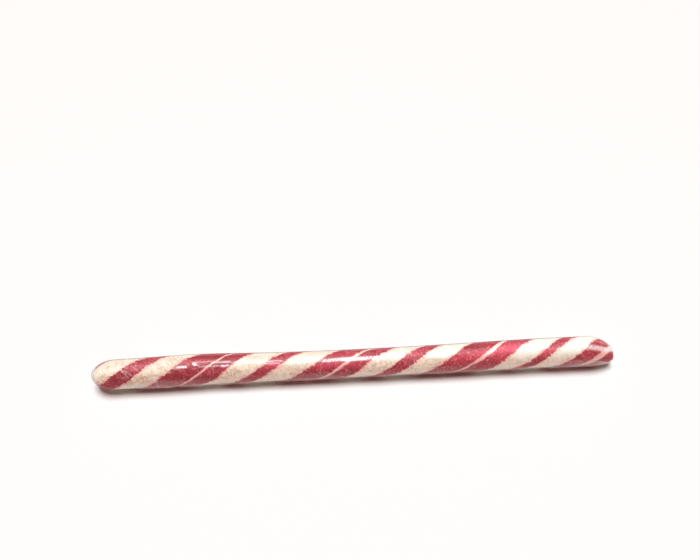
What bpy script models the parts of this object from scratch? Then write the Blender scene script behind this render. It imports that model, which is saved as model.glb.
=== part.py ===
"""Candy stick: a twisted rod of hard candy, tightly wrapped in clear film.

The stick lies on its side along X and rests on z = 0. Wrapped this tightly the film and the
candy are one closed solid, out to the film: a slim round rod with a domed end at -X, a blunt
end at +X whose tip sits low and near, a slight waist, a slight bow, and the flat strip along
its underside that it took while it cooled. Units are metres.
"""

import math

import bmesh
import bpy
from mathutils import Vector

# Driving dimensions.
LENGTH = 0.140
END_RADIUS = 0.00398        # of the rod near its two ends
WAIST_DEPTH = 0.00019       # how much thinner the rod is halfway along
FLAT_DEPTH = 0.00019        # how far the resting strip cuts into the round section

# The wrap stands proud where its loose turn ends, on one side of the rod.
WRAP_SWELL = 0.00034
WRAP_SWELL_X = -0.042
WRAP_SWELL_LENGTH = 0.009
WRAP_SWELL_TURN = math.radians(42.0)

# Sideways wander of the rod's upper side. The underside, which lay on a flat table, is straight.
BOW = 0.00020
BOW_LENGTH = 0.088
BOW_CREST_X = 0.0055

# Each end is a superellipse: its length along X, the powers that shape it across and along the
# rod (both 1 for an ellipse), and how far its tip is off the middle line, in rod radii.
ROUND_END = {"length": 0.0056, "across": 1.08, "along": 1.03, "tip_y": 0.0, "tip_z": 0.0}
BLUNT_END = {"length": 0.0067, "across": 0.77, "along": 1.25, "tip_y": -0.42, "tip_z": -0.42}

# Mesh density.
RINGS = 48                  # rings from pole to pole
END_RINGS = 9               # of those, the rings that each end takes
SEGMENTS = 36               # faces round the rod

CANDY_RED = (0.42, 0.055, 0.075, 1.0)
FILM_ROUGHNESS = 0.12


def clear_scene():
    """Remove every object that is already in the file."""
    for item in list(bpy.data.objects):
        bpy.data.objects.remove(item, do_unlink=True)


def new_collection(name):
    """A collection of that name, linked to the scene."""
    collection = bpy.data.collections.new(name)
    bpy.context.scene.collection.children.link(collection)
    return collection


def candy_material():
    """Glossy raspberry red, the colour of the stripes."""
    material = bpy.data.materials.new("striped_candy")
    material.use_nodes = True
    shader = material.node_tree.nodes["Principled BSDF"]
    shader.inputs["Base Color"].default_value = CANDY_RED
    shader.inputs["Roughness"].default_value = FILM_ROUGHNESS
    shader.inputs["Metallic"].default_value = 0.0
    return material


def rod_radius(x):
    """Radius of the rod at a station along X, thinnest halfway."""
    waist = WAIST_DEPTH * math.cos(math.pi * x / LENGTH) ** 2
    return END_RADIUS - waist


def wrap_swell(x, turn):
    """Extra radius where the film's loose turn ends, on the upper back of the rod."""
    along = math.exp(-0.5 * ((x - WRAP_SWELL_X) / WRAP_SWELL_LENGTH) ** 2)
    facing = max(0.0, math.cos(turn - WRAP_SWELL_TURN)) ** 2
    return WRAP_SWELL * along * facing


def bow(x, turn):
    """Sideways wander at a station along X, full on top of the rod and none underneath."""
    upper = 0.5 * (1.0 + math.sin(turn))
    return -BOW * upper * math.cos(math.tau * (x - BOW_CREST_X) / BOW_LENGTH)


def end_section(end, shoulder_x, outward, angle):
    """Station, radius factor and tip shift of an end's ring, 0 at the shoulder to 90 degrees at the tip."""
    across = math.cos(angle) ** end["across"]
    station = shoulder_x + outward * end["length"] * math.sin(angle) ** end["along"]
    return station, across, (end["tip_y"] * (1.0 - across), end["tip_z"] * (1.0 - across))


def ring_section(share):
    """Station, radius factor and shift of the ring at a share of the way from the -X to the +X pole."""
    end_share = END_RINGS / RINGS
    left = -LENGTH / 2 + ROUND_END["length"]
    right = LENGTH / 2 - BLUNT_END["length"]
    if share < end_share:
        angle = math.pi / 2 * max(0.0, 1.0 - share / end_share)
        return end_section(ROUND_END, left, -1.0, angle)
    if share > 1.0 - end_share:
        angle = math.pi / 2 * min(1.0, 1.0 - (1.0 - share) / end_share)
        return end_section(BLUNT_END, right, 1.0, angle)
    body_share = (share - end_share) / (1.0 - 2.0 * end_share)
    return left + (right - left) * body_share, 1.0, (0.0, 0.0)


def on_rod(direction):
    """Place on the rod's surface that a point of the unit sphere moves to; the sphere's Z runs along X."""
    share = 0.5 + math.asin(max(-1.0, min(1.0, direction.z))) / math.pi
    turn = math.atan2(direction.y, direction.x)
    station, factor, shift = ring_section(share)
    centre_z = rod_radius(station) - FLAT_DEPTH
    radius = rod_radius(station) + wrap_swell(station, turn)
    y = bow(station, turn) + radius * (factor * math.cos(turn) + shift[0])
    z = centre_z + radius * (factor * math.sin(turn) + shift[1])
    return Vector((station, y, max(0.0, z)))


def centre_on_origin(mesh):
    """Slide the mesh along X and Y until its box is centred on the origin."""
    for axis in (0, 1):
        values = [vert.co[axis] for vert in mesh.verts]
        middle = (min(values) + max(values)) / 2
        for vert in mesh.verts:
            vert.co[axis] -= middle


def make_candy_stick(collection):
    """The wrapped stick: a sphere whose rings are drawn out along the rod."""
    mesh = bmesh.new()
    bmesh.ops.create_uvsphere(mesh, u_segments=SEGMENTS, v_segments=RINGS, radius=1.0)
    for vert in mesh.verts:
        vert.co = on_rod(vert.co.normalized())
    centre_on_origin(mesh)
    data = bpy.data.meshes.new("candy_stick")
    mesh.to_mesh(data)
    mesh.free()
    data.shade_smooth()
    data.materials.append(candy_material())
    stick = bpy.data.objects.new("candy_stick", data)
    collection.objects.link(stick)
    return stick


def main():
    clear_scene()
    make_candy_stick(new_collection("candy_stick_parts"))


main()
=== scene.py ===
"""Looks of the candy stick: striped hard candy under a tight wrap of clear film, on a pale floor."""

import math

import bpy
import numpy as np
from bpy.props import FloatProperty, FloatVectorProperty, IntProperty, PointerProperty
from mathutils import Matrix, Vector, noise


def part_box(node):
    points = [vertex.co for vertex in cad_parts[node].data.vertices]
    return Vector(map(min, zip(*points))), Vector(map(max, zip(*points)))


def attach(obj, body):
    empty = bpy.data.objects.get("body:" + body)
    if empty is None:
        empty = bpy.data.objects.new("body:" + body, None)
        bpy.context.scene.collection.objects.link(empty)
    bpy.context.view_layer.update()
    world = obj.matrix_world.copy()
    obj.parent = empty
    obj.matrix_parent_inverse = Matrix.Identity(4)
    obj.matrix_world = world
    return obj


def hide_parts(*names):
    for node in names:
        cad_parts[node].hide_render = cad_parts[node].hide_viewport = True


bl_info = {
    "name": "Wrapped candy stick",
    "version": (1, 0, 0),
    "blender": (4, 5, 0),
    "location": "View3D > Sidebar > Candy",
    "description": "Builds a striped candy stick in clear film inside its packed frame",
    "category": "Add Mesh",
}

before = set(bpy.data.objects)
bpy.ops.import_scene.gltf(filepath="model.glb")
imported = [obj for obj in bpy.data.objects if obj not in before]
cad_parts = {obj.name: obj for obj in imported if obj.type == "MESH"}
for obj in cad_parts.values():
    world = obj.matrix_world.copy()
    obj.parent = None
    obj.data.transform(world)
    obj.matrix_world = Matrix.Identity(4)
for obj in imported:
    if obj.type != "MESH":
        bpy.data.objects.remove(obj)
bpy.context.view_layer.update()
NODE = "candy_stick"
NODE_LOW, NODE_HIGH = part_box(NODE)
LENGTH = NODE_HIGH[0] - NODE_LOW[0]
MM = 0.001

# The rod's own form, as its solid has it.
END_RADIUS = 3.98 * MM
WAIST_DEPTH = 0.19 * MM
FLAT_DEPTH = 0.19 * MM
SWELL_DEPTH, SWELL_X, SWELL_LENGTH, SWELL_ANGLE = 0.34 * MM, -42.0 * MM, 9.0 * MM, -48.0
BOW, BOW_LENGTH, BOW_CREST_X = 0.20 * MM, 88.0 * MM, 5.5 * MM
ROUND_END = {"length": 5.6 * MM, "across": 1.08, "along": 1.03, "tip": 0.0}
BLUNT_END = {"length": 6.7 * MM, "across": 0.77, "along": 1.25, "tip": -0.42}
AXIS_HEIGHT = END_RADIUS - FLAT_DEPTH - WAIST_DEPTH / 2
# How far to the front the raised wrap on the back puts the rod's middle line.
SIDE_SHIFT = -0.112 * MM

# The side of the stick that the stripes are measured from, in degrees round the rod from its top.
FACING = 32.0


class CandyProperties(bpy.types.PropertyGroup):
    """The candy's stripes and colours."""

    pitch: FloatProperty(
        name="Twist pitch", description="Length along the stick of one turn of the stripes",
        default=36.5 * MM, unit="LENGTH")
    wide_stripe: FloatProperty(
        name="Wide stripe", description="Width of the wide stripe along the stick",
        default=14.7 * MM, unit="LENGTH")
    wide_place: FloatProperty(
        name="Wide stripe place", description="Where the wide stripe crosses the front",
        default=-5.2 * MM, unit="LENGTH")
    film_gap: FloatProperty(
        name="Film gap", description="Room between the candy and its film",
        default=0.10 * MM, unit="LENGTH")
    glow_depth: FloatProperty(
        name="Glow depth", description="How far light spreads inside the sugar",
        default=4.0 * MM, unit="LENGTH")
    satin: FloatProperty(
        name="Satin", description="Satin gloss of the pulled pale sugar", default=0.9)
    cream: FloatVectorProperty(
        name="Cream", description="Colour of the pale sugar", subtype="COLOR",
        default=(0.95, 0.84, 0.73))
    # Painted highlight: the colour the cream is painted towards over the top, and as painted light at the
    # foot.
    painted_highlight_white: FloatVectorProperty(
        name="White", description="Colour of the pale sugar where it is pulled smooth", subtype="COLOR",
        default=(0.95, 0.94, 0.84))
    tan: FloatVectorProperty(
        name="Tan", description="Colour of the fine veins in the pale sugar", subtype="COLOR",
        default=(0.58, 0.40, 0.27))
    red: FloatVectorProperty(
        name="Red", description="Colour of the stripes", subtype="COLOR",
        default=(0.45, 0.047, 0.077))
    deep_red: FloatVectorProperty(
        name="Deep red", description="Colour of the stripes' darkest veins", subtype="COLOR",
        default=(0.29, 0.019, 0.031))
    # Painted light: the stripes are drawn in this brighter red where the lamp falls on them most.
    painted_lit_red: FloatVectorProperty(
        name="Bright red", description="Colour of a stripe where the film clings to it", subtype="COLOR",
        default=(0.78, 0.10, 0.17))
    pink: FloatVectorProperty(
        name="Pink", description="Colour where a stripe bleeds into the cream", subtype="COLOR",
        default=(0.90, 0.46, 0.44))


class FilmProperties(bpy.types.PropertyGroup):
    """The clear wrap."""

    refraction: FloatProperty(
        name="Refraction", description="Refractive index of the film", default=1.5)
    smoky_edge: FloatProperty(
        name="Smoky edge", description="How dark the film looks edge on", default=0.9)
    creases: IntProperty(
        name="Loose creases", description="Small creases scattered over the wrap", default=46)
    seed: IntProperty(name="Seed", description="Order of the scattered creases", default=7)


class StudioProperties(bpy.types.PropertyGroup):
    """Light, floor and camera."""

    lamp: FloatProperty(name="Lamp power", description="Strength of the wide lamp overhead", default=3.9)
    lamp_size: FloatProperty(
        name="Lamp size", description="How wide the lamp looks from the stick",
        default=math.radians(34.0), subtype="ANGLE")
    front: FloatProperty(name="Front light", description="Strength of the low light in front", default=0.31)
    front_size: FloatProperty(
        name="Front light size", description="How wide the front light looks from the stick",
        default=math.radians(50.0), subtype="ANGLE")
    front_colour: FloatVectorProperty(
        name="Front light colour", description="Warm, like light thrown back by more candy", subtype="COLOR",
        default=(1.0, 0.52, 0.40))
    fill: FloatProperty(name="Fill", description="Strength of the light all round", default=0.02)
    fill_colour: FloatVectorProperty(
        name="Fill colour", description="Colour of the light all round", subtype="COLOR",
        default=(1.0, 0.38, 0.28))
    lens: FloatProperty(name="Lens", description="Focal length in millimetres", default=28.43)


# ---------------------------------------------------------------------------------------------
# Shader maths


class Wire:
    """A node's output, on which Python's operators add Math nodes."""

    def __init__(self, graph, socket):
        self.graph = graph
        self.socket = socket

    def __add__(self, other):
        return self.graph.maths("ADD", self, other)

    def __sub__(self, other):
        return self.graph.maths("SUBTRACT", self, other)

    def __rsub__(self, other):
        return self.graph.maths("SUBTRACT", other, self)

    def __mul__(self, other):
        return self.graph.maths("MULTIPLY", self, other)

    def __truediv__(self, other):
        return self.graph.maths("DIVIDE", self, other)

    def __rtruediv__(self, other):
        return self.graph.maths("DIVIDE", other, self)

    def __neg__(self):
        return self.graph.maths("MULTIPLY", self, -1.0)

    __radd__ = __add__
    __rmul__ = __mul__


class Graph:
    """The nodes of a material or of the world."""

    def __init__(self, owner):
        self.owner = owner
        owner.use_nodes = True
        self.tree = owner.node_tree
        self.tree.nodes.clear()

    def node(self, kind, settings, values, output=0):
        """A node of that kind, its settings made first and its sockets filled; gives one output."""
        made = self.tree.nodes.new(kind)
        for key, setting in settings.items():
            if key == "stops":
                self.set_stops(made.color_ramp, setting)
            else:
                setattr(made, key, setting)
        for key, value in values.items():
            if isinstance(value, Wire):
                self.tree.links.new(value.socket, made.inputs[key])
            else:
                made.inputs[key].default_value = value
        return Wire(self, made.outputs[output]) if made.outputs else made

    @staticmethod
    def set_stops(ramp, stops):
        """Fill a colour ramp with (place, grey value) stops."""
        while len(ramp.elements) < len(stops):
            ramp.elements.new(1.0)
        for element, (place, value) in zip(ramp.elements, stops):
            element.position = place
            element.color = (value, value, value, 1.0)

    def maths(self, operation, *values):
        """A Math node on one to three values."""
        return self.node("ShaderNodeMath", {"operation": operation}, dict(enumerate(values)))

    def vector(self, operation, *values, output=0):
        """A Vector Math node."""
        return self.node("ShaderNodeVectorMath", {"operation": operation}, dict(enumerate(values)), output)

    def smooth(self, value, low, high):
        """0 below low, 1 above high and a smooth step between."""
        settings = {"interpolation_type": "SMOOTHSTEP"}
        return self.node("ShaderNodeMapRange", settings, {"Value": value, "From Min": low, "From Max": high})

    def blend(self, factor, first, second):
        """Mix two colours."""
        first, second = [c if isinstance(c, Wire) else (*c[:3], 1.0) for c in (first, second)]
        settings = {"data_type": "RGBA", "clamp_factor": True}
        return self.node("ShaderNodeMix", settings, {0: factor, 6: first, 7: second}, 2)

    def along(self, x, stops):
        """A size that eases from stop to stop along the rod; the stops are (station, size)."""
        sizes = [size for _, size in stops]
        low, span = min(sizes), max(sizes) - min(sizes)
        half = LENGTH / 2 / MM + 10.0
        share = (x + half) / (2 * half)
        ramp = [((station + half) / (2 * half), (size - low) / span) for station, size in stops]
        return self.node("ShaderNodeValToRGB", {"stops": ramp}, {"Fac": share}) * span + low

    def noise(self, place, scale, detail=2.0, roughness=0.5):
        """Noise from 0 to 1 at a place in millimetres."""
        values = {"Vector": place, "Scale": scale, "Detail": detail, "Roughness": roughness}
        return self.node("ShaderNodeTexNoise", {"noise_dimensions": "3D"}, values)

    def stir(self, place, scale, amount):
        """A place moved about by noise, in millimetres."""
        swirl = self.node("ShaderNodeTexNoise", {}, {"Vector": place, "Scale": scale}, 1)
        push = self.vector("MULTIPLY_ADD", swirl, (amount,) * 3, (-amount / 2,) * 3)
        return self.vector("ADD", place, push)

    def place_mm(self):
        """Where a point of the surface is, in millimetres."""
        here = self.node("ShaderNodeTexCoord", {}, {}, "Object")
        return self.node("ShaderNodeVectorMath", {"operation": "SCALE"}, {0: here, "Scale": 1.0 / MM})

    def mask(self, name):
        """A number that the piece's mesh stores for each point."""
        return self.node("ShaderNodeAttribute", {"attribute_name": name}, {}, "Fac")

    def finish(self, shader, output="ShaderNodeOutputMaterial"):
        """Link the shader to the output node and give back what the nodes belong to."""
        self.node(output, {}, {"Surface": shader})
        return self.owner


# How the stripes vary along the rod, as (station, size) in millimetres: both edges of the wide stripe,
# then place and half width of the narrow stripe and of the thin pale line in the wide one.
WIDE_LEFT = (
    (-75.0, -1.0), (-60.0, 0.0), (-45.0, 0.1), (-16.0, 0.5), (-11.0, 1.4), (-5.0, 1.0), (20.0, 0.2),
    (27.0, 0.6), (57.0, -0.5), (70.0, -0.8))
WIDE_RIGHT = (
    (-70.0, -0.9), (-62.0, -0.8), (-50.0, 0.0), (-37.0, 1.1), (-35.0, 0.9), (-30.0, -0.3), (-1.0, 1.5),
    (3.0, 0.9), (6.0, 1.3), (36.0, 2.5), (44.0, 2.1), (70.0, 0.5))
NARROW_PLACE = ((-60.0, 0.2), (-24.0, 0.2), (12.0, 0.6), (51.0, 1.15))
NARROW_HALF = ((-60.0, 3.0), (-24.0, 2.35), (12.0, 2.65), (51.0, 1.8))
LINE_PLACE = ((-40.0, 1.8), (-4.0, 2.1), (30.0, 1.7), (36.5, 2.4), (58.0, -1.2), (68.0, -0.5))
LINE_HALF = (
    (-40.0, 0.42), (-20.0, 0.45), (-4.0, 0.66), (30.0, 0.5), (36.5, 0.9), (58.0, 0.5), (62.0, 1.1),
    (67.0, 1.4))
# Where a stripe's red starts and where it is full, measured in from its edge, and how far out it bleeds.
RED_FADE = (-0.22, 0.26)
BLEED_REACH = 1.6
# How much satin gloss the pale sugar has, as (station, share).
SATIN_ALONG = (
    (-66.0, 0.0), (-50.0, 0.10), (-38.0, 0.30), (-28.0, 0.60), (-15.0, 0.75), (10.0, 0.78), (40.0, 1.0))


def candy_material(look):
    """Pulled sugar: a wide stripe with a thin pale line in it and a narrow stripe, wound round cream."""
    graph = Graph(bpy.data.materials.new("striped_candy"))
    place = graph.place_mm()
    x, y, z = (graph.node("ShaderNodeSeparateXYZ", {}, {0: place}, axis) for axis in range(3))
    pitch = look.pitch / MM

    # Angle round the rod: 0 on top, growing towards the front, so that the jump is underneath.
    angle = graph.maths("ARCTAN2", -y, z - AXIS_HEIGHT / MM)
    from_front = math.radians(FACING) - angle
    sway = graph.maths("SINE", from_front) * 0.5
    untwisted = graph.node(
        "ShaderNodeVectorRotate", {"rotation_type": "X_AXIS"},
        {"Vector": place, "Center": (0.0, 0.0, AXIS_HEIGHT / MM), "Angle": x * (-math.tau / pitch)})
    fibre_place = graph.vector("MULTIPLY", untwisted, (0.12, 1.0, 1.0))
    wander = (graph.noise(place, 0.16, 1.0) - 0.5) * 1.2 + (graph.noise(place, 0.9, 2.0, 0.6) - 0.5) * 1.4
    ragged = (graph.noise(place, 2.0, 3.0, 0.75) - 0.5) * 3.4

    turns = (x + sway + wander - look.wide_place / MM) / pitch - from_front / math.tau
    across = (graph.maths("FRACT", turns + 0.5) - 0.5) * pitch
    opposite = (graph.maths("FRACT", turns - graph.along(x, NARROW_PLACE) / pitch) - 0.5) * pitch

    half = look.wide_stripe / MM / 2
    wide_edge = graph.maths(
        "MINIMUM", across + half - graph.along(x, WIDE_LEFT), graph.along(x, WIDE_RIGHT) + half - across)
    narrow_edge = graph.along(x, NARROW_HALF) - graph.maths("ABSOLUTE", opposite)
    line_edge = graph.along(x, LINE_HALF) - graph.maths("ABSOLUTE", across - graph.along(x, LINE_PLACE))
    stripe_edge = graph.maths("MAXIMUM", wide_edge, narrow_edge) + ragged
    edge = graph.maths("MINIMUM", stripe_edge, ragged * 0.35 - line_edge)
    red_mask = graph.smooth(edge, *RED_FADE)
    bleed_mask = graph.smooth(edge, -BLEED_REACH, 0.0)

    # Fine veins, clouds, grains and crazing in the sugar, drawn out along the twist.
    fibre = graph.noise(fibre_place, 2.2, 4.0, 0.6)
    cloud = graph.noise(place, 0.45, 3.0, 0.6)
    fleck = graph.noise(place, 1.6, 4.0, 0.7)
    crack = graph.node(
        "ShaderNodeTexVoronoi", {"feature": "DISTANCE_TO_EDGE"},
        {"Vector": graph.stir(place, 1.1, 1.3), "Scale": 0.75})
    plain = graph.mask("plain")
    crazing = graph.smooth(crack, 0.14, 0.0) * graph.smooth(cloud, 0.38, 0.56)
    vein = graph.smooth(fibre * 0.3 + cloud * 0.35 + fleck * 0.55, 0.56, 0.70)
    # Painted highlight and painted light: the cream is drawn paler over the top and at the foot, and its
    # veins and crazing fade there.
    cream = graph.blend(plain * plain * 0.8, look.cream, look.painted_highlight_white)
    cream = graph.blend(vein * 0.55 * (1.0 - plain), cream, look.tan)
    cream = graph.blend(crazing * 0.9 * (1.0 - plain), cream, look.tan)
    cream = graph.blend(graph.mask("crazed") * (0.1 + fleck * 0.75), cream, look.tan)
    cream = graph.blend(bleed_mask * (0.05 + fleck * 0.95), cream, look.pink)
    # The thin pale line is painted pink where it runs down the front: a painted glow of red light scattered
    # into it from the stripes.
    painted_glow_line = graph.smooth(line_edge, -0.5, 0.1) * graph.smooth(angle, 0.25, 0.9)
    cream = graph.blend(painted_glow_line * 0.55, cream, look.pink)

    # The red: dark veins, painted light where it is drawn brighter, pale grains, and painted shade where it
    # is drawn darker.
    depth = graph.smooth(fibre * 0.45 + fleck * 0.55, 0.40, 0.60)
    red_with_painted_lighting = graph.blend(depth, look.deep_red, [c * 1.2 for c in look.red])
    grains = graph.smooth(graph.noise(place, 2.2, 3.0, 0.75), 0.51, 0.66) * graph.smooth(cloud, 0.34, 0.56)
    # Painted light and painted shade: the red is drawn brighter where the lamp falls most and darker where it
    # falls least.
    red_with_painted_lighting = graph.blend(graph.mask("flush") * (0.4 + fleck * 1.1), red_with_painted_lighting, look.painted_lit_red)
    red_with_painted_lighting = graph.blend(grains * 0.6, red_with_painted_lighting, look.pink)
    red_with_painted_lighting = graph.blend(graph.mask("sunk") * (0.5 + fleck), red_with_painted_lighting, look.deep_red)
    colour = graph.blend(red_mask, cream, red_with_painted_lighting)

    relief = fibre * 0.6 + fleck * 0.4
    bump = graph.node("ShaderNodeBump", {}, {"Strength": 0.5, "Distance": 0.10 * MM, "Height": relief})
    shader = graph.node("ShaderNodeBsdfPrincipled", {}, {
        "Base Color": colour,
        "Roughness": 0.40 + fleck * 0.2,
        "Normal": bump,
        "Subsurface Weight": 1.0,
        "Subsurface Radius": (1.4, 0.6, 0.45),
        "Subsurface Scale": look.glow_depth,
        "Specular IOR Level": 0.25,
        "Coat Weight": (1.0 - red_mask) * graph.along(x, SATIN_ALONG) * look.satin,
        "Coat Roughness": 0.45,
        "Coat IOR": 1.8,
    })
    return graph.finish(shader)


# The film's colours: where it is clear, edge on, and where it is creased; the creases' pale tint also paints
# highlights.
CLEAR_TINT = (0.99, 0.99, 0.985, 1.0)
SMOKY_TINT = (0.40, 0.30, 0.28, 1.0)
HAZE_AND_HIGHLIGHT_TINT = (1.0, 0.87, 0.87, 1.0)


def film_material(look):
    """Thin clear film: it mirrors more at a glancing view, looks smoky edge on, turns cloudy in creases and
    carries painted highlights in the same pale tint.
    """
    graph = Graph(bpy.data.materials.new("clear_film"))
    place = graph.place_mm()
    milky, taut, clinging = (graph.mask(name) for name in ("milky", "taut", "clinging"))
    crinkle = graph.noise(graph.vector("MULTIPLY", place, (0.5, 1.0, 1.0)), 2.4, 3.0, 0.6)
    bump = graph.node("ShaderNodeBump", {}, {"Strength": 0.25, "Distance": 0.03 * MM, "Height": crinkle})
    # What one face mirrors head on and at a glancing view; loose film scatters most of it.
    head_on = ((look.refraction - 1.0) / (look.refraction + 1.0)) ** 2
    glancing = graph.node("ShaderNodeLayerWeight", {}, {"Blend": 0.5, "Normal": bump}, "Facing")
    one_face = head_on + (1.0 - head_on) * graph.maths("POWER", glancing, 5.0)
    mirror = graph.maths("MINIMUM", one_face * (0.10 + 0.18 * clinging + 2.6 * taut), 0.08 + 0.7 * taut)
    gloss = graph.node("ShaderNodeBsdfPrincipled", {}, {
        "Base Color": (1.0, 1.0, 1.0, 1.0),
        "Metallic": 1.0,
        "Roughness": 0.50 - taut * 0.26,
        "Normal": bump,
    })
    clear = graph.node("ShaderNodeBsdfTransparent", {}, {"Color": CLEAR_TINT})
    smoky = graph.node("ShaderNodeBsdfTransparent", {}, {"Color": SMOKY_TINT})
    # Painted shade: the smoky tint darkens the outline edge on, mostly over the top and back.
    edge_on = graph.smooth(glancing, 0.58, 0.95) * look.smoky_edge * clinging
    through = graph.node("ShaderNodeMixShader", {}, {"Fac": edge_on, 1: clear, 2: smoky})
    haze_and_highlight_bsdf = graph.node("ShaderNodeBsdfPrincipled", {}, {
        "Base Color": HAZE_AND_HIGHLIGHT_TINT,
        "Roughness": 0.3,
        "Normal": bump,
    })
    glass = graph.node("ShaderNodeMixShader", {}, {"Fac": mirror, 1: through, 2: gloss})
    # The milk holds back only a little of the light that falls through the film.
    lamp_ray = graph.node("ShaderNodeLightPath", {}, {}, "Is Shadow Ray")
    # The cloudiness is crease cloudiness in part and a painted highlight in part.
    haze_and_highlight_share = milky * (0.5 + graph.noise(place, 1.9, 3.0, 0.6)) * (1.0 - 0.8 * lamp_ray)
    return graph.finish(graph.node("ShaderNodeMixShader", {}, {"Fac": haze_and_highlight_share, 1: glass, 2: haze_and_highlight_bsdf}))


# ---------------------------------------------------------------------------------------------
# Shaping

# How finely the round bodies are drawn: faces round a ring and rounds of smoothing.
RING_SIDES = 32
SMOOTHING = 2
# Where the ring nearest each shoulder lies, as a share of one step round the end.
FIRST_END_RING = 0.35


def rod_radius(x):
    """Radius of the rod at one station or at an array of them, thinnest halfway."""
    return END_RADIUS - WAIST_DEPTH * np.cos(math.pi * x / LENGTH) ** 2


def rod_rings(inset, tip_inset, spacing, end_rings):
    """Rings of a rod that lies inset from the solid: (centre, radius) from the round tip to the blunt one."""
    low, high = -LENGTH / 2 + tip_inset, LENGTH / 2 - tip_inset
    left, right = low + ROUND_END["length"], high - BLUNT_END["length"]

    def ring(station, share, tip):
        radius = rod_radius(station) - inset
        centre_z = rod_radius(station) - FLAT_DEPTH
        shift = tip * radius * (1.0 - share)
        return Vector((station, shift, centre_z + shift)), radius * share

    def end_ring(end, shoulder, outward, part):
        angle = math.pi / 2 * part
        share = math.cos(angle) ** end["across"]
        return ring(shoulder + outward * end["length"] * math.sin(angle) ** end["along"], share, end["tip"])

    parts = [(k + FIRST_END_RING) / end_rings for k in range(end_rings)]
    rings = [end_ring(ROUND_END, left, -1.0, part) for part in reversed(parts)]
    count = round((right - left) / spacing)
    rings += [ring(left + (right - left) * k / count, 1.0, 0.0) for k in range(count + 1)]
    rings += [end_ring(BLUNT_END, right, 1.0, part) for part in parts]
    return rings


def new_piece(name):
    """The object just added, named, with its place put into its mesh."""
    piece = bpy.context.active_object
    piece.name = piece.data.name = name
    bpy.ops.object.transform_apply(location=True, rotation=True, scale=True)
    return piece


def draw_out(name, rings):
    """A round body modelled by hand: a disc at the first ring, extruded and scaled from ring to ring."""
    bpy.ops.object.select_all(action="DESELECT")
    centre, radius = rings[0]
    bpy.ops.mesh.primitive_circle_add(
        vertices=RING_SIDES, radius=radius, fill_type="NGON", location=centre,
        rotation=(0.0, -math.pi / 2, 0.0))
    piece = new_piece(name)
    bpy.ops.object.mode_set(mode="EDIT")
    bpy.ops.mesh.select_all(action="SELECT")
    for (here, size), (there, next_size) in zip(rings, rings[1:]):
        bpy.ops.mesh.extrude_region_move(TRANSFORM_OT_translate={"value": there - here})
        factor = next_size / size
        bpy.ops.transform.resize(value=(factor, factor, factor), center_override=there)
    bpy.ops.mesh.select_all(action="SELECT")
    bpy.ops.mesh.normals_make_consistent(inside=False)
    bpy.ops.object.mode_set(mode="OBJECT")
    smooth = piece.modifiers.new("Smooth", "SUBSURF")
    smooth.levels = smooth.render_levels = SMOOTHING
    bpy.ops.object.modifier_apply(modifier=smooth.name)
    bpy.ops.object.shade_smooth()
    return piece


def points_of(piece):
    """A mesh's points as an array."""
    points = np.empty(len(piece.data.vertices) * 3)
    piece.data.vertices.foreach_get("co", points)
    return points.reshape(-1, 3)


def normals_of(piece):
    """A mesh's outward directions, one for each point."""
    normals = np.empty(len(piece.data.vertices) * 3)
    piece.data.vertex_normals.foreach_get("vector", normals)
    return normals.reshape(-1, 3)


def put_points(piece, points):
    """Write an array back as the mesh's points."""
    piece.data.vertices.foreach_set("co", points.ravel())
    piece.data.update()


def write_mask(piece, name, values):
    """Store one number for each point, which a material can read."""
    mask = piece.data.attributes.new(name, "FLOAT", "POINT")
    mask.data.foreach_set("value", np.asarray(values, dtype=np.float32))


def unrolled(points):
    """Station along the rod and angle round it, in millimetres and in degrees from the top to the front."""
    x = points[:, 0] / MM
    angle = np.degrees(np.arctan2(-points[:, 1], points[:, 2] - AXIS_HEIGHT))
    return x, angle


def bell(distance, width):
    """1 at no distance, falling off over the width."""
    return np.exp(-0.5 * (distance / width) ** 2)


def soft_line(value, middle, width, strength):
    """A line of that strength along the middle value, falling off over the width."""
    return strength * bell(value - middle, width)


def patches(x, angle, spots):
    """The sum of soft spots: station, angle, how far along and round, strength."""
    total = np.zeros(len(x))
    for station, middle, length, spread, strength in spots:
        total += strength * bell(x - station, length) * bell(angle - middle, spread)
    return total


def grain(points, scale, offset=0.0):
    """Smooth noise from -1 to 1 for each point; scale holds features in each millimetre along X, Y and Z."""
    at = points / MM * np.asarray(scale) + offset
    return np.array([noise.noise(Vector(p)) for p in at])


def swell_and_bow(points):
    """Give the drawn rod its raised wrap and its slight bow, and centre it across as its solid is."""
    x, angle = unrolled(points)
    turn = np.radians(angle)
    along = bell(x - SWELL_X / MM, SWELL_LENGTH / MM)
    swell = SWELL_DEPTH * along * np.clip(np.cos(turn - math.radians(SWELL_ANGLE)), 0.0, None) ** 2
    bow = -BOW * 0.5 * (1.0 + np.cos(turn)) * np.cos(math.tau * (points[:, 0] - BOW_CREST_X) / BOW_LENGTH)
    shaped = points.copy()
    shaped[:, 1] += bow - swell * np.sin(turn)
    shaped[:, 2] += swell * np.cos(turn)
    shaped[:, 1] += SIDE_SHIFT
    return shaped


def untwist(points, pitch):
    """Turn each point back by the twist at its station, so that a stripe lies straight along X."""
    turn = -math.tau * points[:, 0] / pitch
    side, up = points[:, 1], points[:, 2] - AXIS_HEIGHT
    straight = points.copy()
    straight[:, 1] = side * np.cos(turn) - up * np.sin(turn)
    straight[:, 2] = side * np.sin(turn) + up * np.cos(turn)
    return straight


# The rod's rings: how far apart along it and how many round each end.
ROD_SPACING, ROD_END_RINGS = 1.6 * MM, 9
# How high the candy's underside lies inside its film.
ROD_FOOT = 0.05 * MM
# Heights of the fine ridges along the twist and of the broad waves, in millimetres.
RIDGE_HEIGHT, WAVE_HEIGHT = 0.022, 0.03
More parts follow.
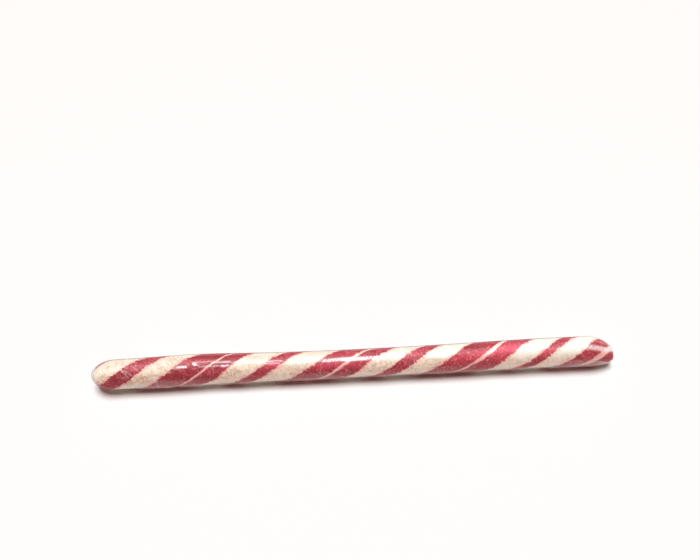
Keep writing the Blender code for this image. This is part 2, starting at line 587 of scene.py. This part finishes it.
# Where the red is painted brighter as painted light and highlight (positive strength) and darker as painted
# shade (negative strength): station, angle, how far along and round, strength.
PAINTED_RED_LIGHTING = (
    (41.0, 12.0, 5.0, 20.0, 1.0),
    (42.5, -2.0, 3.0, 10.0, 0.5),
    (31.0, 18.0, 4.0, 18.0, 0.5),
    (50.0, 22.0, 3.0, 18.0, 0.5),
    (-6.0, 42.0, 6.0, 14.0, 0.4),
    (28.0, 44.0, 5.0, 14.0, 0.25),
    (14.5, 0.0, 3.0, 10.0, 0.5),
    (-6.0, -8.0, 5.0, 10.0, 0.15),
    (-44.0, -2.0, 3.0, 8.0, 0.3),
    (-54.0, 2.0, 2.0, 10.0, 0.2),
    (-58.0, 16.0, 3.5, 14.0, 0.12),
    (-22.0, 26.0, 3.0, 12.0, 0.4),
    (14.0, 12.0, 3.0, 10.0, 0.3),
    (-62.0, 52.0, 3.0, 18.0, -0.7),
    (-50.0, 50.0, 4.0, 12.0, -0.5),
    (-41.0, -22.0, 5.0, 8.0, -0.6),
    (-33.0, -16.0, 4.0, 10.0, -0.5),
    (-46.0, 30.0, 4.0, 12.0, -0.3),
    (31.0, -10.0, 4.0, 12.0, -0.9),
    (-38.0, 60.0, 4.0, 12.0, -0.4),
    (-10.0, 64.0, 5.0, 10.0, -0.2),
    (58.0, 50.0, 3.0, 12.0, 0.06),
)
# Where the pale sugar is crazed brown: station, angle, how far along and round, strength.
CRAZED = (
    (-56.5, 49.0, 3.0, 9.0, 0.74),
    (-50.0, -14.0, 9.0, 14.0, 0.50),
    (-50.0, 20.0, 5.0, 12.0, 0.12),
    (-33.0, 72.0, 4.0, 12.0, 0.25),
    (-64.0, -12.0, 4.0, 20.0, 0.28),
    (-30.0, -20.0, 6.0, 9.0, 0.40),
    (-12.0, -24.0, 7.0, 8.0, 0.30),
    (-31.0, 44.0, 3.0, 10.0, 0.25),
    (-18.0, 46.0, 3.0, 12.0, 0.50),
    (4.0, 48.0, 3.5, 11.0, 0.35),
    (17.0, 50.0, 3.5, 10.0, 0.36),
    (40.5, 52.0, 2.5, 8.0, 0.12),
)
# The cream is painted paler over the top, a painted highlight that is strongest at the right, and at the
# foot, painted light; veins and crazing show between them. How far the painted highlight on top reaches, how
# strong it is and how softly the painted light at the foot fades, each as stations and values; then the angle
# where the foot's painted light starts and how strong it is.
TOP_REACH = ((20.0, 42.0), (20.0, 32.0))
TOP_SHARE = ((-60.0, -30.0, 10.0, 40.0), (0.15, 0.4, 0.7, 1.0))
TOP_FADE = 12.0
FOOT_FADE = ((25.0, 54.0), (9.0, 22.0))
FOOT_ANGLE, FOOT_SHARE = 86.0, 0.75


def painted_light_share(x, angle):
    """How much painted light each point takes, from 0 to 1: a painted highlight over the top and painted
    light at the foot.
    """
    past_top = np.maximum(np.abs(angle) - np.interp(x, *TOP_REACH), 0.0)
    above_foot = np.maximum(FOOT_ANGLE - angle, 0.0)
    top = bell(past_top, TOP_FADE) * np.interp(x, *TOP_SHARE)
    foot = FOOT_SHARE * bell(above_foot, np.interp(x, *FOOT_FADE))
    return np.maximum(top, foot)


class CANDY_OT_rod(bpy.types.Operator):
    """Model the candy itself: a drawn rod with faint ridges along its twist"""

    bl_idname = "candy.rod"
    bl_label = "Candy rod"

    def execute(self, context):
        look = context.scene.candy_look
        rings = rod_rings(look.film_gap, 2 * look.film_gap, ROD_SPACING, ROD_END_RINGS)
        rod = draw_out("candy_rod", rings)
        points = swell_and_bow(points_of(rod))
        outward = normals_of(rod)
        straight = untwist(points, look.pitch)
        ridges = RIDGE_HEIGHT * grain(straight, (0.02, 0.9, 0.9))
        ridges += WAVE_HEIGHT * grain(points, (0.12, 0.3, 0.3))
        points += outward * (ridges * MM)[:, None]
        points[:, 2] = np.maximum(points[:, 2], ROD_FOOT)
        put_points(rod, points)
        x, angle = unrolled(points)
        # Painted light and painted shade on the red, kept in two masks.
        painted_red_light_and_shade = patches(x, angle, PAINTED_RED_LIGHTING)
        mottle = 0.5 * grain(points, (0.5, 0.5, 0.5), 9.0)
        painted_red_light_and_shade *= 1.0 + mottle + 0.6 * grain(straight, (0.5, 1.6, 1.6), 9.0)
        write_mask(rod, "flush", np.clip(painted_red_light_and_shade, 0.0, 1.0))
        write_mask(rod, "sunk", np.clip(-painted_red_light_and_shade, 0.0, 1.0))
        # Painted light: a painted highlight over the top and painted light at the foot.
        write_mask(rod, "plain", painted_light_share(x, angle))
        crazed = patches(x, angle, CRAZED)
        write_mask(rod, "crazed", crazed * (1.0 + 0.5 * grain(points, (0.4, 0.8, 0.8), 2.0)))
        rod.data.materials.append(candy_material(look))
        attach(rod, "root")
        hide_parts(NODE)
        return {"FINISHED"}


# Creases, taut streaks and painted highlights of the wrap: both ends as station and angle, in millimetres and
# degrees, then half width, height, how glossy and how milky; on the bright streaks, the blister, the middle
# lamp streak, the wrinkles over the second narrow stripe and the gathered right end that pale cloudiness is a
# painted highlight.
STROKES = (
    # pleats over the left end
    ((-66.4, 20.0), (-64.6, 47.0), 0.10, 0.05, 0.1, 0.30),
    ((-64.3, 2.0), (-63.2, 30.0), 0.09, 0.04, 0.1, 0.20),
    # a fan of creases over the first narrow stripe
    ((-61.2, 14.0), (-60.2, 30.0), 0.10, 0.05, 0.1, 0.34),
    ((-60.2, 30.0), (-59.2, 46.0), 0.09, 0.05, 0.1, 0.26),
    ((-60.0, 22.0), (-58.4, 38.0), 0.09, 0.04, 0.1, 0.30),
    ((-58.4, 38.0), (-57.8, 46.0), 0.07, 0.04, 0.1, 0.20),
    ((-58.2, 8.0), (-56.8, 22.0), 0.08, 0.05, 0.1, 0.24),
    ((-57.6, 2.0), (-55.8, 6.0), 0.09, 0.04, 0.0, 0.12),
    # painted highlight: the short bright streak and its small neighbour, drawn as pale cloudiness
    ((-48.2, 20.0), (-46.6, 18.0), 0.10, 0.0, 0.0, 0.50),
    ((-46.6, 17.5), (-44.5, 17.5), 0.17, 0.0, 0.0, 0.95),
    ((-47.4, 24.0), (-46.4, 22.5), 0.08, 0.0, 0.0, 0.35),
    ((-49.4, 36.0), (-48.4, 35.5), 0.10, 0.03, 0.0, 0.45),
    # a long flat blister: a bright spot and two thin edges, partly glossy, their pale cloudiness a painted
    # highlight
    ((-42.5, 6.0), (-42.2, 10.0), 0.22, 0.0, 0.8, 0.80),
    ((-41.6, 12.0), (-41.3, 14.0), 0.10, 0.0, 0.2, 0.50),
    ((-42.0, 2.0), (-37.5, 0.5), 0.08, 0.03, 0.2, 0.36),
    ((-37.8, 6.5), (-33.4, 6.0), 0.10, 0.03, 0.2, 0.42),
    ((-36.8, 0.5), (-33.2, 2.5), 0.07, 0.03, 0.1, 0.28),
    ((-33.2, 3.0), (-32.6, 12.0), 0.08, 0.02, 0.1, 0.36),
    ((-41.0, 19.5), (-35.4, 19.5), 0.09, 0.03, 0.0, 0.48),
    ((-35.2, 19.5), (-34.6, 21.5), 0.15, 0.0, 0.0, 0.90),
    ((-34.2, 19.5), (-33.6, 19.0), 0.14, 0.0, 0.0, 0.80),
    # wrinkles over the next narrow stripe, their pale cloudiness partly a painted highlight
    ((-23.8, 10.5), (-20.6, 9.5), 0.08, 0.03, 0.35, 0.40),
    ((-24.6, 20.5), (-20.4, 20.5), 0.09, 0.03, 0.1, 0.50),
    ((-20.6, 9.0), (-19.6, 13.0), 0.08, 0.03, 0.35, 0.40),
    ((-23.2, 15.5), (-21.8, 15.0), 0.07, 0.03, 0.2, 0.30),
    # the long lamp streak in the middle: its gloss mirrors the lamp and its pale cloudiness is a painted
    # highlight
    ((-9.0, 20.5), (-4.2, 17.5), 0.29, 0.0, 1.0, 0.35),
    ((-4.2, 18.0), (1.2, 18.0), 0.31, 0.0, 1.0, 0.35),
    ((1.2, 18.5), (5.4, 17.5), 0.33, 0.0, 1.0, 0.35),
    ((-5.0, 13.0), (0.0, 12.5), 0.10, 0.0, 0.8, 0.20),
    # small wrinkles over the right third
    ((47.4, 26.0), (49.2, 16.0), 0.10, 0.04, 0.1, 0.25),
    ((52.0, 12.0), (53.6, 20.0), 0.10, 0.04, 0.1, 0.25),
    ((50.6, 16.0), (52.4, 24.0), 0.09, 0.04, 0.1, 0.25),
    # the gathered end at the right, its pale cloudiness mostly a painted highlight
    ((60.6, 14.0), (62.2, 20.0), 0.34, 0.0, 0.4, 0.50),
    ((62.2, 20.0), (64.6, 25.0), 0.40, 0.0, 0.4, 0.66),
    ((64.6, 25.0), (68.6, 36.0), 0.42, 0.0, 0.3, 0.66),
    ((61.0, 28.0), (64.0, 26.0), 0.14, 0.03, 0.1, 0.30),
    ((63.6, -8.0), (66.0, -2.0), 0.22, 0.03, 0.0, 0.16),
    ((66.0, 2.0), (68.0, 10.0), 0.20, 0.03, 0.0, 0.20),
)
# How long one of the slanting teeth is that a streak breaks into, how much it slants, and where the streak
# breaks: first and last station, how deep the gaps are.
TOOTH, TOOTH_SLANT = 0.92, 0.9
TEETH = ((-41.4, -35.3, 0.5), (-10.0, -4.4, 1.0), (2.0, 5.6, 1.0), (59.8, 64.0, 0.6), (64.0, 68.0, 0.25))


def crease_profile(x, angle, start, end, width):
    """A ridge along the line from start to end on the unrolled rod."""
    around = math.radians(1.0) * END_RADIUS / MM
    run = np.array([end[0] - start[0], (end[1] - start[1]) * around])
    to_x, to_s = x - start[0], (angle - start[1]) * around
    share = np.clip((to_x * run[0] + to_s * run[1]) / (run @ run), 0.0, 1.0)
    distance = np.hypot(to_x - share * run[0], to_s - share * run[1])
    return bell(distance, width)


def slanting_teeth(x, angle, drift):
    """1 everywhere but in the stretches where a streak is broken, which rise and fall along the rod."""
    across = angle * math.radians(1.0) * END_RADIUS / MM
    wave = 0.5 + 0.5 * np.sin(math.tau * (x + TOOTH_SLANT * across + drift) / TOOTH)
    teeth = np.ones(len(x))
    for first, last, gap in TEETH:
        inside = (x > first) & (x < last)
        teeth[inside] = (1.0 - gap * np.clip(2.2 * wave - 1.1, 0.0, 1.0))[inside]
    return teeth


# The wrap's rings, how high its broad waves are in millimetres, and the milk that it has everywhere.
WRAP_SPACING, WRAP_END_RINGS = 0.82 * MM, 8
WRAP_WAVE = 0.035
FILM_MILK = 0.012
# The loose creases: how far from the middle they lie and their half width, in millimetres, how far round
# they may lean in degrees for each millimetre, and how milky they are for their height.
CREASE_FIELD, CREASE_WIDTH = 64.0, 0.14
CREASE_LEAN, CREASE_MILK = 12.0, 4.0
# The pleats of each end: how many, how far they reach in and how high they are, in millimetres, and how
# milky the folds between them are.
PLEATS, PLEAT_REACH, PLEAT_HEIGHT, PLEAT_MILK = 11, 6.0, 0.07, 0.10


def loose_crease(rng, x, angle):
    """A small crease at a random place of the wrap, and its height in millimetres."""
    station, middle = rng.uniform(-CREASE_FIELD, CREASE_FIELD), rng.uniform(-180.0, 180.0)
    length, lean, height = rng.uniform(0.8, 3.5), rng.uniform(-1.0, 1.0), rng.uniform(0.01, 0.03)
    start, end = (station, middle), (station + length, middle + CREASE_LEAN * lean * length)
    return crease_profile(x, angle, start, end, CREASE_WIDTH), height


def end_pleats(x, angle, tip):
    """How near each point is to the tip, from 0 to 1, and how high it stands on the uneven pleats."""
    near = np.clip(1.0 - np.abs(x - tip) / PLEAT_REACH, 0.0, 1.0)
    turn = np.radians(angle)
    return near, np.abs(np.sin(PLEATS / 2 * turn + 1.3 * np.sin(2.0 * turn)))


class CANDY_OT_wrap(bpy.types.Operator):
    """Model the clear film: a tight tube with creases, taut patches and pleated ends"""

    bl_idname = "candy.wrap"
    bl_label = "Film wrap"

    def execute(self, context):
        look, film = context.scene.candy_look, context.scene.candy_film
        wrap = draw_out("film_wrap", rod_rings(0.0, 0.0, WRAP_SPACING, WRAP_END_RINGS))
        points = swell_and_bow(points_of(wrap))
        outward = normals_of(wrap)
        x, angle = unrolled(points)
        relief = WRAP_WAVE * grain(points, (0.07, 0.45, 0.45), 3.0)
        milky = np.full(len(x), FILM_MILK)
        taut = np.zeros(len(x))
        teeth = slanting_teeth(x, angle, 0.5 * grain(points, (1.1, 1.1, 1.1), 5.0))
        # Painted highlight: on the bright streaks the pale cloudiness stands in for the lamp's reflection.
        for start, end, width, height, gloss, milk_and_highlight in STROKES:
            stroke = crease_profile(x, angle, start, end, width)
            relief += height * stroke
            solid = np.clip(1.7 * stroke, 0.0, 1.0) * teeth
            taut = np.maximum(taut, gloss * solid)
            milky = np.maximum(milky, milk_and_highlight * solid)
        rng = np.random.default_rng(film.seed)
        for _ in range(film.creases):
            ridge, height = loose_crease(rng, x, angle)
            relief += height * ridge
            milky += CREASE_MILK * height * ridge
        for tip in (-LENGTH / 2 / MM, LENGTH / 2 / MM):
            near, pleats = end_pleats(x, angle, tip)
            relief += PLEAT_HEIGHT * near * (pleats - 0.5)
            milky += PLEAT_MILK * near * (1.0 - pleats) ** 3
        points += outward * (relief * MM)[:, None]
        points[:, 2] = np.maximum(points[:, 2], 0.0)
        put_points(wrap, points)
        write_mask(wrap, "milky", np.clip(milky, 0.0, 1.0))
        write_mask(wrap, "taut", taut)
        # This mask paints shade along the outline: it keeps the film's edge-on smoky tint, and a little more
        # mirror, to the top and the back; it is weaker at the foot and over the right end.
        right_end_fade = np.interp(x, (55.0, 64.0), (1.0, 0.35))
        write_mask(wrap, "clinging", np.clip(1.0 - (angle - 30.0) / 40.0, 0.2, 1.0) * right_end_fade)
        wrap.data.materials.append(film_material(film))
        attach(wrap, "root")
        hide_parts(NODE)
        return {"FINISHED"}


# The film's overlap, low on the front: its left corner, where its top edge steps down and over what length,
# and its right end; then the angles of its top edge before and after the step, and of its hidden edge.
LAP_LEFT, LAP_STEP, LAP_STEP_LENGTH, LAP_RIGHT = -58.0, -52.2, 0.25, 68.4
LAP_CORNER_ANGLE, LAP_ANGLE, LAP_HIDDEN_ANGLE = 49.0, 66.0, 130.0
# The left corner is cut off: from which station, over what length, and how far round in degrees.
LAP_CUT, LAP_CUT_LENGTH, LAP_CUT_DEPTH = -54.5, 3.0, 34.0
# Where the lap starts to close in round the right end, over what length, how far round its top edge falls
# there in degrees, and how far the lap draws in.
LAP_CLOSING, LAP_CLOSING_LENGTH, LAP_CLOSING_FALL, LAP_CLOSING_DEPTH = 61.5, 6.0, 26.0, 0.8 * MM
# The lap's faces along and across, and the least room under it.
LAP_FACES_ALONG, LAP_FACES_ACROSS = 480, 28
LAP_FOOT = 0.02 * MM
# How far off the rod the lap lies, how much more it hangs off at its loosest, in millimetres, and the angle
# and the spread of that.
LAP_GAP, LAP_HANG, LAP_HANG_ANGLE, LAP_HANG_SPREAD = 0.04, 0.24, 106.0, 12.0
# The lap's milk everywhere, before the step, round the right end and at most.
LAP_MILK, LAP_CORNER_MILK, LAP_END_MILK, LAP_MOST_MILK = 0.015, 0.06, 0.52, 0.7
# The lap's milky lines, as middle, width and strength: an uneven streak and a fainter one above it by their
# angles, the upright edge at the step by its station, and the top edge by its share of the lap's width.
LAP_STREAK, LAP_FAINT_STREAK = (103.0, 8.0, 0.25), (90.0, 9.0, 0.04)
LAP_STEP_EDGE, LAP_TOP_EDGE = (LAP_STEP + 0.1, 0.13, 0.30), (1.0, 0.03, 0.06)
# Its milky patches: station, how far along, strength.
LAP_PATCHES = (
    (-50.5, 2.0, 0.096), (-44.0, 3.0, 0.060), (-30.0, 3.0, 0.036), (-11.0, 4.0, 0.084), (6.0, 3.0, 0.036),
    (22.0, 4.0, 0.048), (38.0, 4.0, 0.036), (58.5, 2.6, 0.132))


class CANDY_OT_lap(bpy.types.Operator):
    """Model the film's overlap: a strip that hangs slightly off the rod near the floor"""

    bl_idname = "candy.lap"
    bl_label = "Film lap"

    def execute(self, context):
        bpy.ops.object.select_all(action="DESELECT")
        bpy.ops.mesh.primitive_grid_add(
            x_subdivisions=LAP_FACES_ALONG, y_subdivisions=LAP_FACES_ACROSS, size=1.0,
            location=(0.0, 0.0, 0.0))
        lap = new_piece("film_lap")
        share = points_of(lap) + 0.5
        x = LAP_LEFT + (LAP_RIGHT - LAP_LEFT) * share[:, 0]
        wobble = np.array([noise.noise(Vector((0.35 * station, 4.0, 0.0))) for station in x])
        past_step = np.clip((x - LAP_STEP) / LAP_STEP_LENGTH, 0.0, 1.0)
        past_end = np.clip((x - LAP_CLOSING) / LAP_CLOSING_LENGTH, 0.0, 1.0)
        top = LAP_CORNER_ANGLE + (LAP_ANGLE - LAP_CORNER_ANGLE) * past_step + 2.5 * wobble
        top += LAP_CUT_DEPTH * np.clip((LAP_CUT - x) / LAP_CUT_LENGTH, 0.0, 1.0)
        top += LAP_CLOSING_FALL * past_end ** 1.5
        angle = LAP_HIDDEN_ANGLE + (top - LAP_HIDDEN_ANGLE) * share[:, 1]
        turn = np.radians(angle)
        radius = rod_radius(x * MM) - LAP_CLOSING_DEPTH * past_end ** 2
        hang = LAP_HANG * bell(angle - LAP_HANG_ANGLE, LAP_HANG_SPREAD) * (0.8 + 0.5 * wobble)
        centre_z = radius - FLAT_DEPTH
        reach = radius + (LAP_GAP + hang) * MM
        side, up = -reach * np.sin(turn) + SIDE_SHIFT, centre_z + reach * np.cos(turn)
        points = np.stack([x * MM, side, np.maximum(up, LAP_FOOT)], axis=1)
        put_points(lap, points)
        bpy.ops.object.shade_smooth()
        milky = LAP_MILK + LAP_CORNER_MILK * (1.0 - past_step) + LAP_END_MILK * past_end
        milky += soft_line(angle, *LAP_STREAK) * (0.8 + wobble) + soft_line(angle, *LAP_FAINT_STREAK)
        milky += soft_line(share[:, 1], *LAP_TOP_EDGE) * (1.0 + wobble)
        for line in (LAP_STEP_EDGE, *LAP_PATCHES):
            milky += soft_line(x, *line)
        write_mask(lap, "milky", np.clip(milky, 0.0, LAP_MOST_MILK))
        write_mask(lap, "taut", np.zeros(len(x)))
        write_mask(lap, "clinging", np.zeros(len(x)))
        lap.data.materials.append(bpy.data.materials["clear_film"])
        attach(lap, "root")
        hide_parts(NODE)
        return {"FINISHED"}


# The stage: the floor's size, how far under the stick it lies, and its colour; the wall's colour; the ways
# to the two lights; the eye's place and what it looks at.
FLOOR_SIZE = 6.0
FLOOR_DROP = 0.02 * MM
FLOOR_COLOUR = (0.80, 0.785, 0.775, 1.0)
WALL_COLOUR = (0.985, 0.96, 0.945, 1.0)
TO_OVERHEAD, TO_FRONT = (-0.02, 0.186, 1.0), (0.0, -0.90, 0.42)
EYE_PLACE = Vector((-6.50, -79.22, 130.96)) * MM
EYE_AIM = Vector((0.0, 32.22, 0.0)) * MM


class CANDY_OT_stage(bpy.types.Operator):
    """Set the pale floor, the soft light and the camera"""

    bl_idname = "candy.stage"
    bl_label = "Stage"

    def execute(self, context):
        studio = context.scene.candy_studio
        scene = context.scene
        bpy.ops.object.select_all(action="DESELECT")
        bpy.ops.mesh.primitive_plane_add(size=FLOOR_SIZE, location=(0.0, 0.0, -FLOOR_DROP))
        floor = new_piece("floor")
        graph = Graph(bpy.data.materials.new("pale_floor"))
        matt = {"Base Color": FLOOR_COLOUR, "Roughness": 0.8, "Specular IOR Level": 0.2}
        floor.data.materials.append(graph.finish(graph.node("ShaderNodeBsdfPrincipled", {}, matt)))

        # A faint warm light all round, and a pale wall behind the floor.
        graph = Graph(bpy.data.worlds.new("soft_room"))
        warm = {"Color": (*studio.fill_colour, 1.0), "Strength": studio.fill}
        room = graph.node("ShaderNodeBackground", {}, warm)
        wall = graph.node("ShaderNodeBackground", {}, {"Color": WALL_COLOUR})
        seen = graph.node("ShaderNodeLightPath", {}, {}, "Is Camera Ray")
        choice = graph.node("ShaderNodeMixShader", {}, {"Fac": seen, 1: room, 2: wall})
        scene.world = graph.finish(choice, "ShaderNodeOutputWorld")

        # The lamp stands a little behind overhead; a weak light comes from the front.
        self.add_sun("overhead", studio.lamp, studio.lamp_size, (1.0, 1.0, 1.0), TO_OVERHEAD)
        self.add_sun("front", studio.front, studio.front_size, studio.front_colour, TO_FRONT)

        eye_data = bpy.data.cameras.new("eye")
        eye_data.lens = studio.lens
        eye_data.clip_start = 10 * MM
        eye = bpy.data.objects.new("eye", eye_data)
        scene.collection.objects.link(eye)
        eye.location = EYE_PLACE
        eye.rotation_mode = "QUATERNION"
        eye.rotation_quaternion = (EYE_AIM - EYE_PLACE).to_track_quat("-Z", "Y")
        scene.camera = eye
        scene.view_settings.view_transform = "Standard"
        return {"FINISHED"}

    @staticmethod
    def add_sun(name, strength, size, colour, toward):
        """A far round light that stands in the given direction."""
        data = bpy.data.lights.new(name, "SUN")
        data.energy = strength
        data.color = colour
        data.angle = size
        sun = bpy.data.objects.new(name, data)
        bpy.context.scene.collection.objects.link(sun)
        sun.rotation_mode = "QUATERNION"
        sun.rotation_quaternion = Vector(toward).to_track_quat("Z", "Y")


class CANDY_PT_panel(bpy.types.Panel):
    """The stick's settings and its pieces"""

    bl_idname = "CANDY_PT_panel"
    bl_label = "Candy stick"
    bl_space_type = "VIEW_3D"
    bl_region_type = "UI"
    bl_category = "Candy"

    def draw(self, context):
        for group in (context.scene.candy_look, context.scene.candy_film, context.scene.candy_studio):
            for name in group.__annotations__:
                self.layout.prop(group, name)
        for operator in OPERATORS:
            self.layout.operator(operator.bl_idname)


OPERATORS = (CANDY_OT_rod, CANDY_OT_wrap, CANDY_OT_lap, CANDY_OT_stage)
CLASSES = (CandyProperties, FilmProperties, StudioProperties, *OPERATORS, CANDY_PT_panel)


def register():
    for item in CLASSES:
        bpy.utils.register_class(item)
    bpy.types.Scene.candy_look = PointerProperty(type=CandyProperties)
    bpy.types.Scene.candy_film = PointerProperty(type=FilmProperties)
    bpy.types.Scene.candy_studio = PointerProperty(type=StudioProperties)


def unregister():
    del bpy.types.Scene.candy_look, bpy.types.Scene.candy_film, bpy.types.Scene.candy_studio
    for item in reversed(CLASSES):
        bpy.utils.unregister_class(item)


def main():
    """Build everything: the rod, its film wrap and lap, and the stage."""
    register()
    bpy.ops.candy.rod()
    bpy.ops.candy.wrap()
    bpy.ops.candy.lap()
    bpy.ops.candy.stage()


if __name__ == "__main__":
    main()
